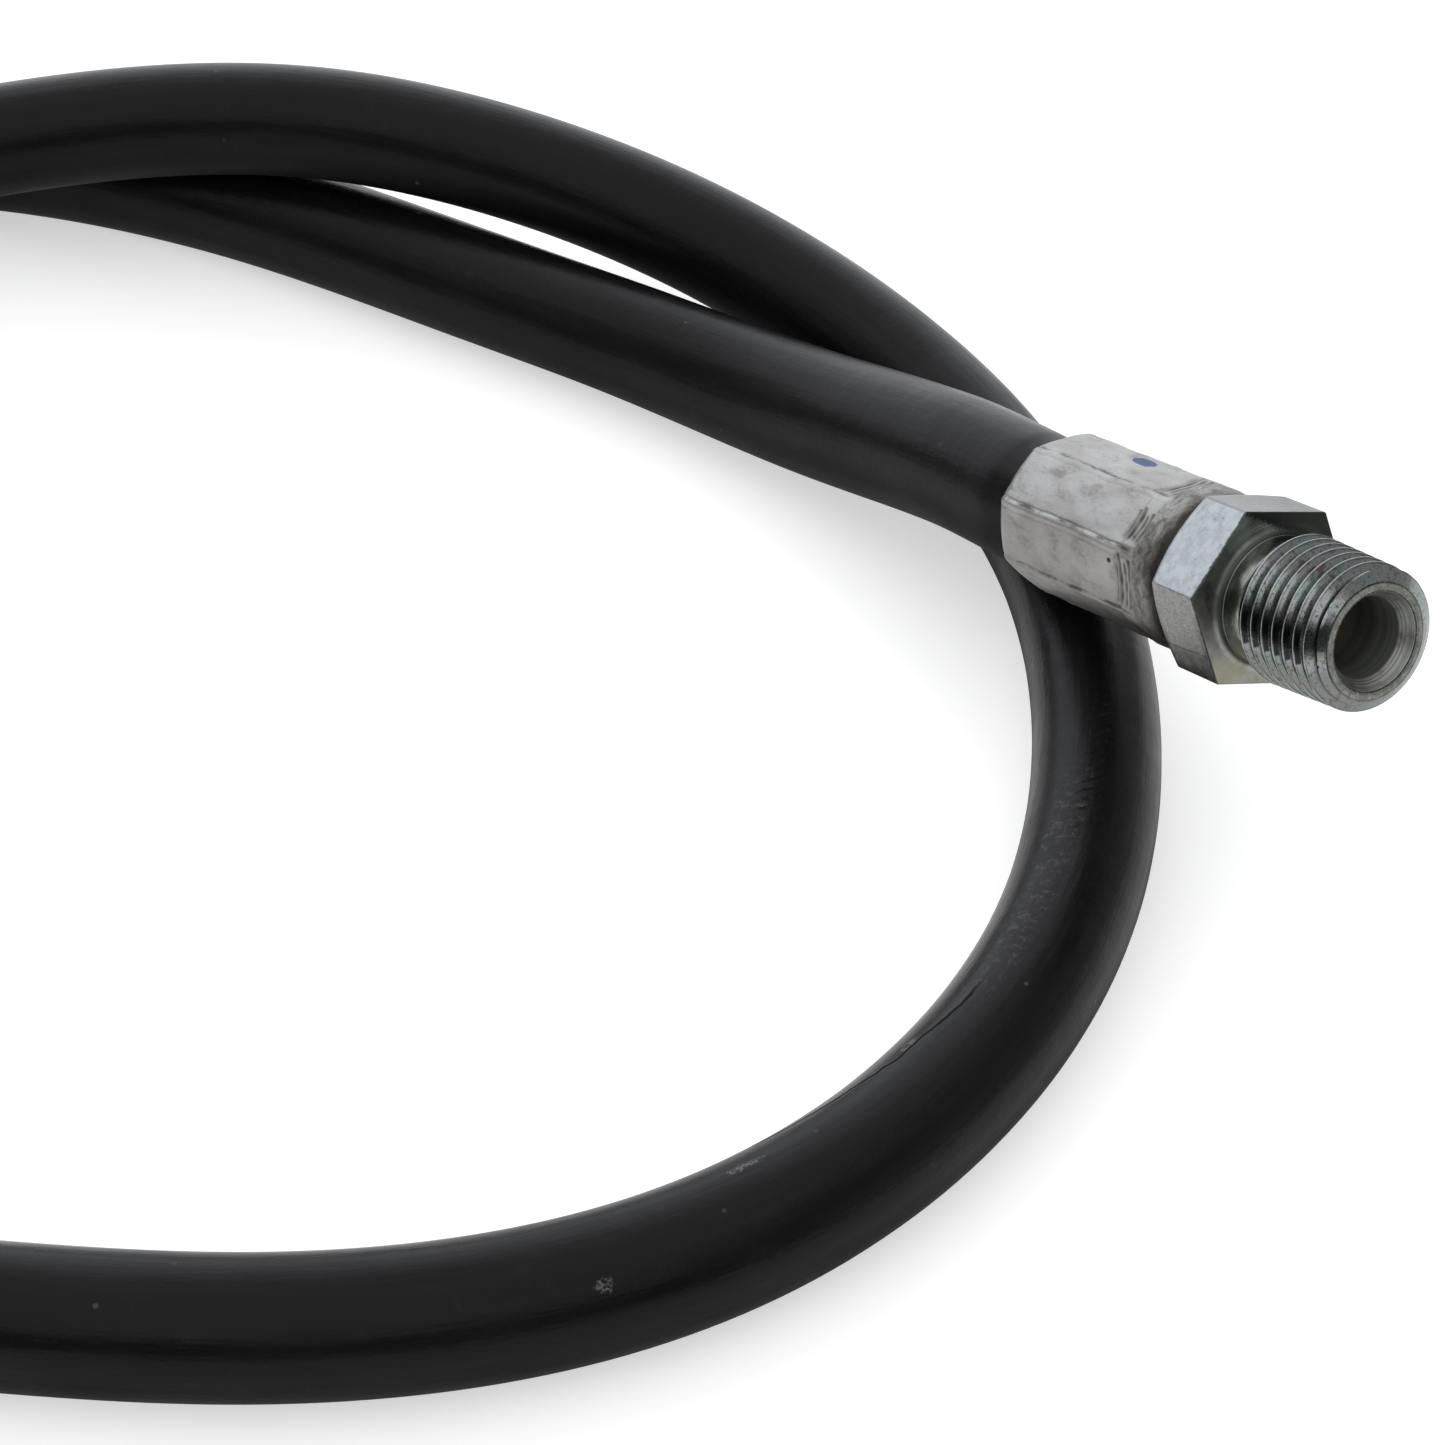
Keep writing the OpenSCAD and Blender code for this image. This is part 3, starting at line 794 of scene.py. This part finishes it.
def thread_profile():
    """Distances from a crest, over one pitch, and the depth below the crest at each."""
    # finer at the crest and at the root
    half = np.array([0.0, 0.04, 0.07, 0.12, 0.2, 0.3, 0.4, 0.48, 0.54, 0.6, 0.66])
    across = np.concatenate([half, [PITCH / 2], PITCH - half[:0:-1]])
    near = np.minimum(across, PITCH - across)
    cut = np.maximum(near - CREST_HALF, 0) * math.tan(math.radians(FLANK_SLOPE))
    cut = THREAD_DEPTH - np.logaddexp(0, (THREAD_DEPTH - cut) * ROOT_SHARPNESS) / ROOT_SHARPNESS
    cut = np.maximum(cut - cut[0], 0)
    return across, cut


def add_thread(skin, slot, columns=288):
    """Adds the helical thread and the neck: a strip whose rows climb one pitch in each turn."""
    across, cut = thread_profile()
    per_turn = len(across)
    first = CREST_BACK + PITCH * THREAD_PHASE / 360
    first -= PITCH * math.ceil(first / PITCH + 0.01)
    last = HEX_FRONT - FILLET
    turns = int(math.ceil((last - first) / PITCH)) + 2
    row = np.arange(turns * per_turn)
    column = np.arange(columns)
    back = (first + (row // per_turn) * PITCH + across[row % per_turn])[:, None]
    back = back - PITCH * column[None, :] / columns
    deep = np.broadcast_to(cut[row % per_turn][:, None], back.shape)
    back = np.clip(back, 0.0, last)
    radius = crest_radius(back) - deep
    chamfer = FACE_R + CHAMFER_SLOPE * back
    runout = NECK_R + RUNOUT_SLOPE * np.clip(THREAD_END - back, 0, None)
    radius = np.minimum(radius, np.minimum(chamfer, runout))
    radius = np.where(back > THREAD_END, NECK_R, radius)
    groove = RUNOUT_DIP * np.exp(-((back - THREAD_END) / RUNOUT_WIDTH) ** 2)
    radius = np.where(back > THREAD_END - 0.4, np.minimum(radius, NECK_R - groove), radius)
    depth = np.clip((crest_radius(back) - radius) / THREAD_DEPTH, 0, 1)
    depth = np.where(radius >= chamfer - 1e-6, np.minimum(depth, 0.3), depth)
    depth = np.where(back > THREAD_END + 0.4, 0.3, depth)
    angle = 2 * math.pi * column / columns
    points = np.stack([radius * np.cos(angle), radius * np.sin(angle), -back], axis=-1)
    quads = grid(len(row), columns, wrap=False)
    seam = np.arange(per_turn, len(row) - 1)
    seam_quads = np.stack([seam * columns + columns - 1, (seam + 1) * columns + columns - 1,
                           (seam + 1 - per_turn) * columns, (seam - per_turn) * columns], axis=-1)
    quads = np.concatenate([quads, seam_quads])
    flat = back.reshape(-1)
    inside = ~((flat[quads].max(axis=1) <= 0) | (flat[quads].min(axis=1) >= last))
    skin.add(points.reshape(-1, 3), quads[inside], slot, depth.reshape(-1))


def hex_outline(inset=0.0, per_side=10, per_corner=5):
    """The rounded hexagon as points in order; its corners are at 0, 60, 120... degrees."""
    centre = (HEX_AF / 2 - HEX_CORNER) / math.cos(math.radians(30))
    middle = np.radians(60 * np.arange(6))[:, None]
    turn = middle + np.radians(np.linspace(-30, 30, per_corner))
    radius = HEX_CORNER - inset
    corners = np.stack([centre * np.cos(middle) + radius * np.cos(turn),
                        centre * np.sin(middle) + radius * np.sin(turn)], axis=-1)
    outline = []
    for k in range(6):
        outline.extend(corners[k])
        start, end = corners[k][-1], corners[(k + 1) % 6][0]
        for part in range(1, per_side):
            outline.append(start + (end - start) * part / per_side)
    return np.array(outline)


def add_hex(skin, face_slot, flat_slot):
    """Adds the hex: fillet, front face, flats with turned rear chamfer, and rear face."""
    outline = hex_outline()
    front = hex_outline(HEX_EDGE)
    far = np.linalg.norm(outline, axis=1)
    unit = outline / far[:, None]
    edge = HEX_REAR - (far - HEX_REAR_R) * math.tan(math.radians(30))

    def ring(flat, back):
        back = np.broadcast_to(back, (len(flat),))
        return np.column_stack([flat, -back])

    rings = []
    for part in np.linspace(0, 90, 6):
        turn = math.radians(part)
        radius = NECK_R + FILLET * (1 - math.cos(turn))
        rings.append(ring(unit * radius, HEX_FRONT - FILLET + FILLET * math.sin(turn)))
    inner = unit * (NECK_R + FILLET)
    for part in (0.2, 0.4, 0.6, 0.8, 1.0):
        rings.append(ring(inner + (front - inner) * part, HEX_FRONT))
    count = len(outline)
    skin.add(np.concatenate(rings), grid(len(rings), count), face_slot, 0.4)
    rings = [
        ring(front, HEX_FRONT), ring(outline, HEX_FRONT + HEX_EDGE), ring(outline, HEX_FRONT + 1.0),
        ring(outline, edge - 0.6), ring(outline, edge - 0.05),
        ring(unit * (far - 0.06)[:, None], edge + 0.04), ring(unit * HEX_REAR_R, HEX_REAR),
        ring(unit * HEX_HOLE_R, HEX_REAR),
    ]
    skin.add(np.concatenate(rings), grid(len(rings), count), flat_slot)


def stem_skin():
    """The whole visible stem; its material slots are thread, face, flats, end and bore."""
    skin = Skin()
    skin.turned([(TAIL_R, TAIL_END), (TAIL_R, PORT_DEPTH + DRILL_TIP), (PORT_R, PORT_DEPTH),
                 (PORT_R, SEAT_DEPTH + PORT_BREAK), (PORT_R + PORT_BREAK, SEAT_DEPTH - PORT_BREAK),
                 (SEAT_R, 0)], 4)
    skin.turned([(SEAT_R, 0), (SEAT_R + 0.04, -0.02), (FACE_R - 0.05, -0.02), (FACE_R, 0)], 3)
    add_thread(skin, 0)
    add_hex(skin, 1, 2)
    return skin


# ---------------------------------------------------------------- ferrule

def smooth(value, low, high):
    """0 at low, 1 at high, and smooth between them."""
    part = np.clip((value - low) / (high - low), 0, 1)
    return part * part * (3 - 2 * part)


def ferrule_surface(back, angle):
    """Radius of the crimped ferrule, and how much its colour is darkened, at a distance and an
    angle.
    """
    number = np.floor((angle - DIE_TURN) / DIE_STEP + 0.5)
    across = angle - DIE_TURN - number * DIE_STEP
    # the ridges wander a little
    across = across + 0.5 * np.sin(back * 0.45 + number * 2.1) + 0.2 * np.sin(back * 1.7 + number)
    beside = np.abs(across)
    from_middle = DIE_STEP / 2 - beside
    face = DIE_R + FACE_RISE * (from_middle / FACE_HALF) ** 2
    ridge = RIDGE_R - (RIDGE_R - DIE_R) * smooth(beside, *RIDGE_HALF)
    valley = np.exp(-((beside - VALLEY_AT) / VALLEY_WIDTH) ** 2)
    valley = valley * np.where(across < 0, 1, VALLEY_OTHER)
    crimped = np.maximum(face, ridge) - VALLEY * valley
    first = smooth(back, DIE_END + 0.2, DIE_END - 0.2)
    second = smooth(back, BAND_END + 0.15, BAND_END - 0.15)
    middle = np.minimum(crimped + DIE_RISE, BAND_R)
    radius = crimped + (middle - crimped) * first
    radius = radius + (BAND_R - radius) * second
    past = (angle - DIE_TURN) % DIE_STEP
    # bowed die marks, which start nearer to the ridge on every other face
    start = np.where((angle - DIE_TURN) // DIE_STEP % 2 == 0, *MARK_STARTS)
    bow = 0.4 * ((past - 24) / 18) ** 2
    marks = np.zeros_like(radius)
    for step, (mark, deep, wide) in enumerate(DIE_MARKS):
        line = np.exp(-((back - mark - bow * (1 + 0.3 * step)) / wide) ** 2)
        begin = start + 3 + 3 * np.sin(step * 2.1)
        broken = 0.85 + 0.15 * np.sin(past * 0.5 + step * 2.3)
        on_face = smooth(past, begin - 2, begin) * smooth(past, 43 - begin / 4, 38 - begin / 4)
        marks = np.maximum(marks, deep * line * broken * on_face)
    radius = radius - MARK_DEPTH * marks
    shoulder = np.clip((FERRULE_FRONT + ROUND_LEN - back) / ROUND_LEN, 0, 1)
    radius = np.minimum(radius, NOSE_R + (BAND_R - NOSE_R) * np.sqrt(1 - shoulder ** 2))
    over = np.clip((back - (MOUTH - MOUTH_ROUND)) / MOUTH_ROUND, 0, 1)
    radius = radius - MOUTH_DROP * (1 - np.sqrt(1 - over ** 2))
    dents = (0.02 * np.sin(back * 1.3 + angle * 0.11) + 0.015 * np.sin(back * 0.7 - angle * 0.23)
             + 0.01 * np.sin(back * 2.9 + angle * 0.31))
    in_dies = smooth(back, 24.9, 26.5)
    one_side = np.exp(-((across + 2.2) / 0.7) ** 2)
    # darker beside one side of each ridge, in the grooves and in the die marks
    darkening = np.clip((0.95 * one_side + 0.65 * valley) * in_dies + marks, 0, 1)
    return radius + dents, darkening


def ferrule_skin():
    """The crimped ferrule: a fine grid outside, with plain faces at its front and mouth."""
    columns = 480
    # distances of its rows, close together where the dies end
    rows = np.concatenate([
        np.linspace(FERRULE_FRONT, 22.4, 12), np.linspace(22.5, 25.0, 14),
        np.linspace(25.1, 27.3, 34), np.linspace(27.5, MOUTH - MOUTH_ROUND, 50),
        np.linspace(MOUTH - MOUTH_ROUND + 0.1, MOUTH, 16)])
    angle = np.linspace(0, 360, columns, endpoint=False)
    back, turn = np.meshgrid(rows, angle, indexing="ij")
    radius, darkening = ferrule_surface(back, turn)
    turn = np.radians(turn)
    points = np.stack([radius * np.cos(turn), radius * np.sin(turn), -back], axis=-1)
    skin = Skin()
    skin.add(points.reshape(-1, 3), grid(len(rows), columns), 0, darkening.reshape(-1))
    for row, inner, back in ((0, FRONT_HOLE_R, FERRULE_FRONT), (-1, MOUTH_R, MOUTH)):
        rim = points[row]
        unit = rim[:, :2] / np.linalg.norm(rim[:, :2], axis=1)[:, None]
        ring = np.column_stack([unit * inner, np.full(columns, -back)])
        pair = [ring, rim] if row == 0 else [rim, ring]
        skin.add(np.concatenate(pair), grid(2, columns), 0, 0.7)
    skin.turned([(MOUTH_R, MOUTH), (MOUTH_R, MOUTH - 0.3), (MOUTH_R - 0.4, MOUTH - 1.6)], 0,
                columns, 1.0)
    return skin


# ---------------------------------------------------------------- hose

def hose_controls():
    """The route's control points in mm, from mouth A to mouth B."""
    route = [(x, y, HOSE_FLAT + lift) for x, y, lift in ROUTE]
    return np.array([-MOUTH * AXIS_A, -(MOUTH + LEAD) * AXIS_A, *route,
                     MOUTH_B - LEAD * AXIS_B, MOUTH_B])


def spline(controls, steps):
    """Points of the uniform cubic B-spline, steps for each span, through both end points."""
    ends = np.vstack([2 * controls[0] - controls[1], controls, 2 * controls[-1] - controls[-2]])
    line = []
    for i in range(len(controls) - 1):
        for t in np.arange(steps) / steps:
            weights = ((1 - t) ** 3 / 6, (3 * t ** 3 - 6 * t ** 2 + 4) / 6,
                       (-3 * t ** 3 + 3 * t ** 2 + 3 * t + 1) / 6, t ** 3 / 6)
            line.append(sum(w * p for w, p in zip(weights, ends[i:i + 4])))
    line.append(controls[-1])
    return np.array(line)


def settled(line):
    """The route as the photo shows it near the fitting, and the hose's radius along it.

    The hose swells a little behind the crimp, arches up and then leans towards the viewer, each
    over its own stretch in mm from the mouth."""
    run = np.concatenate([[0], np.cumsum(np.linalg.norm(np.diff(line, axis=0), axis=1))])
    swell = SWELL * smooth(run, 1, 4) * smooth(run, 78, 28)
    arch = ARCH * smooth(run, 0, 19) * smooth(run, 90, 42)
    lean = LEAN * smooth(run, 46, 84) * smooth(run, 122, 88)
    shift = np.outer(arch, [0, 0, 1]) + np.outer(lean, TO_VIEWER)
    return line + shift, HOSE_R + swell


def add_hose():
    """The free hose as one tube along its route."""
    line, radius = settled(spline(hose_controls(), HOSE_STEPS))
    start, end = (tip + (tip - near) / np.linalg.norm(tip - near) * HOSE_INSIDE
                  for tip, near in ((line[0], line[1]), (line[-1], line[-2])))
    line = np.vstack([start, line, end])
    radius = np.concatenate([[HOSE_R], radius, [HOSE_R]])
    along = np.gradient(line, axis=0)
    along /= np.linalg.norm(along, axis=1)[:, None]
    side = np.cross([0, 0, 1], along)
    side /= np.linalg.norm(side, axis=1)[:, None]
    top = np.cross(along, side)
    turn = np.linspace(0, 2 * math.pi, HOSE_SIDES, endpoint=False)
    ring = np.cos(turn)[None, :, None] * side[:, None] + np.sin(turn)[None, :, None] * top[:, None]
    points = line[:, None] + radius[:, None, None] * ring
    run = np.concatenate([[0], np.cumsum(np.linalg.norm(np.diff(line, axis=0), axis=1))])
    place = np.stack([
        np.broadcast_to(HOSE_R * np.cos(turn), (len(line), HOSE_SIDES)),
        np.broadcast_to(HOSE_R * np.sin(turn), (len(line), HOSE_SIDES)),
        np.broadcast_to(run[:, None], (len(line), HOSE_SIDES))], axis=-1)
    mesh = bpy.data.meshes.new("hose")
    mesh.from_pydata((points.reshape(-1, 3) * MM).tolist(), [],
                     grid(len(line), HOSE_SIDES)[:, ::-1].tolist())
    mesh.polygons.foreach_set("use_smooth", np.ones(len(mesh.polygons), bool))
    stored = mesh.attributes.new("hose_place", "FLOAT_VECTOR", "POINT")
    stored.data.foreach_set("vector", place.reshape(-1).astype(np.float32))
    mesh.materials.append(hose_rubber())
    mesh.update()
    hose = show("hose_cover_free", mesh, "hose_cover", "hose_run")
    return hose, line


hose, centre_line = add_hose()
stem, ferrule = stem_skin(), ferrule_skin()
stem_looks = [zinc_thread(), zinc_face(), zinc_flats(), zinc_end(), turned_steel()]
ferrule_looks = [zinc_ferrule()]
for end, turn in (("a", STEM_TURN), ("b", 0)):
    place = fitting_place(end)
    spun = place @ Matrix.Rotation(math.radians(turn), 4, "Z")
    name = "stem_detailed_" + end
    show(name, stem.mesh(name, stem_looks, spun), "stem_steel",
                                 "stem_" + end)
    name = "ferrule_detailed_" + end
    show(name, ferrule.mesh(name, ferrule_looks, place, 50),
                                    "ferrule_steel", "ferrule_" + end)

looks = {"inner_tube": inner_rubber(), "wire_braid": braided_wire(), "hose_cover": hose_rubber()}
for entry in frame["record"]["subparts"]:
    node = frame["nodes"][entry["node"]]
    if entry["material_slot"] in looks and not node.hide_render:
        node.data.materials.clear()
        node.data.materials.append(looks[entry["material_slot"]])


# ---------------------------------------------------------------- stage

def add_floor():
    """A plain pale floor that runs far past the view."""
    corners = [(x * FLOOR_HALF, y * FLOOR_HALF, FLOOR * MM)
               for x, y in ((-1, -1), (1, -1), (1, 1), (-1, 1))]
    mesh = bpy.data.meshes.new("floor")
    mesh.from_pydata(corners, [], [(0, 1, 2, 3)])
    floor = bpy.data.objects.new("floor", mesh)
    bpy.context.scene.collection.objects.link(floor)
    paint = Paint("floor")
    cloud = paint.noise(paint.position(), 0.002, 2)
    paint.colour = paint.blend(cloud, (0.6, 0.6, 0.6), (0.62, 0.62, 0.62))
    paint.shader.inputs["Emission Color"].default_value = (1, 1, 1, 1)
    paint.shader.inputs["Emission Strength"].default_value = FLOOR_GLOW
    mesh.materials.append(paint.finish(0.9, metallic=0.0))


def light_scene():
    """Soft studio light from all round: a window at the back and left, a dark room in front."""
    world = bpy.data.worlds.new("studio")
    bpy.context.scene.world = world
    world.use_nodes = True
    sky = Nodes(world.node_tree)
    ray = sky.add("ShaderNodeTexCoord", output=0)
    elevation = sky.math("MULTIPLY", sky.math("ARCSINE", sky.part(ray, 2)), 180 / math.pi)

    def away_from(azimuth):
        """Degrees between the ray and an azimuth, seen from above."""
        turn = math.radians(azimuth)
        ahead = sky.dot(ray, (math.cos(turn), math.sin(turn), 0))
        aside = sky.dot(ray, (-math.sin(turn), math.cos(turn), 0))
        angle = sky.math("ARCTAN2", sky.math("ABSOLUTE", aside), ahead)
        return sky.math("MULTIPLY", angle, 180 / math.pi)

    light = CEILING
    for azimuth, half, top, fade, level in WALLS:
        side = sky.ramp(away_from(azimuth), half + WALL_SOFT, half - WALL_SOFT)
        wall = sky.math("MULTIPLY", side, sky.ramp(elevation, top + fade, top - fade))
        light = sky.blend(wall, light, level)
    backdrop = world.node_tree.nodes["Background"]
    sky.feed(backdrop.inputs[0], light)
    backdrop.inputs[1].default_value = LIGHT
    bpy.context.scene.view_settings.view_transform = "Standard"


add_floor()
light_scene()
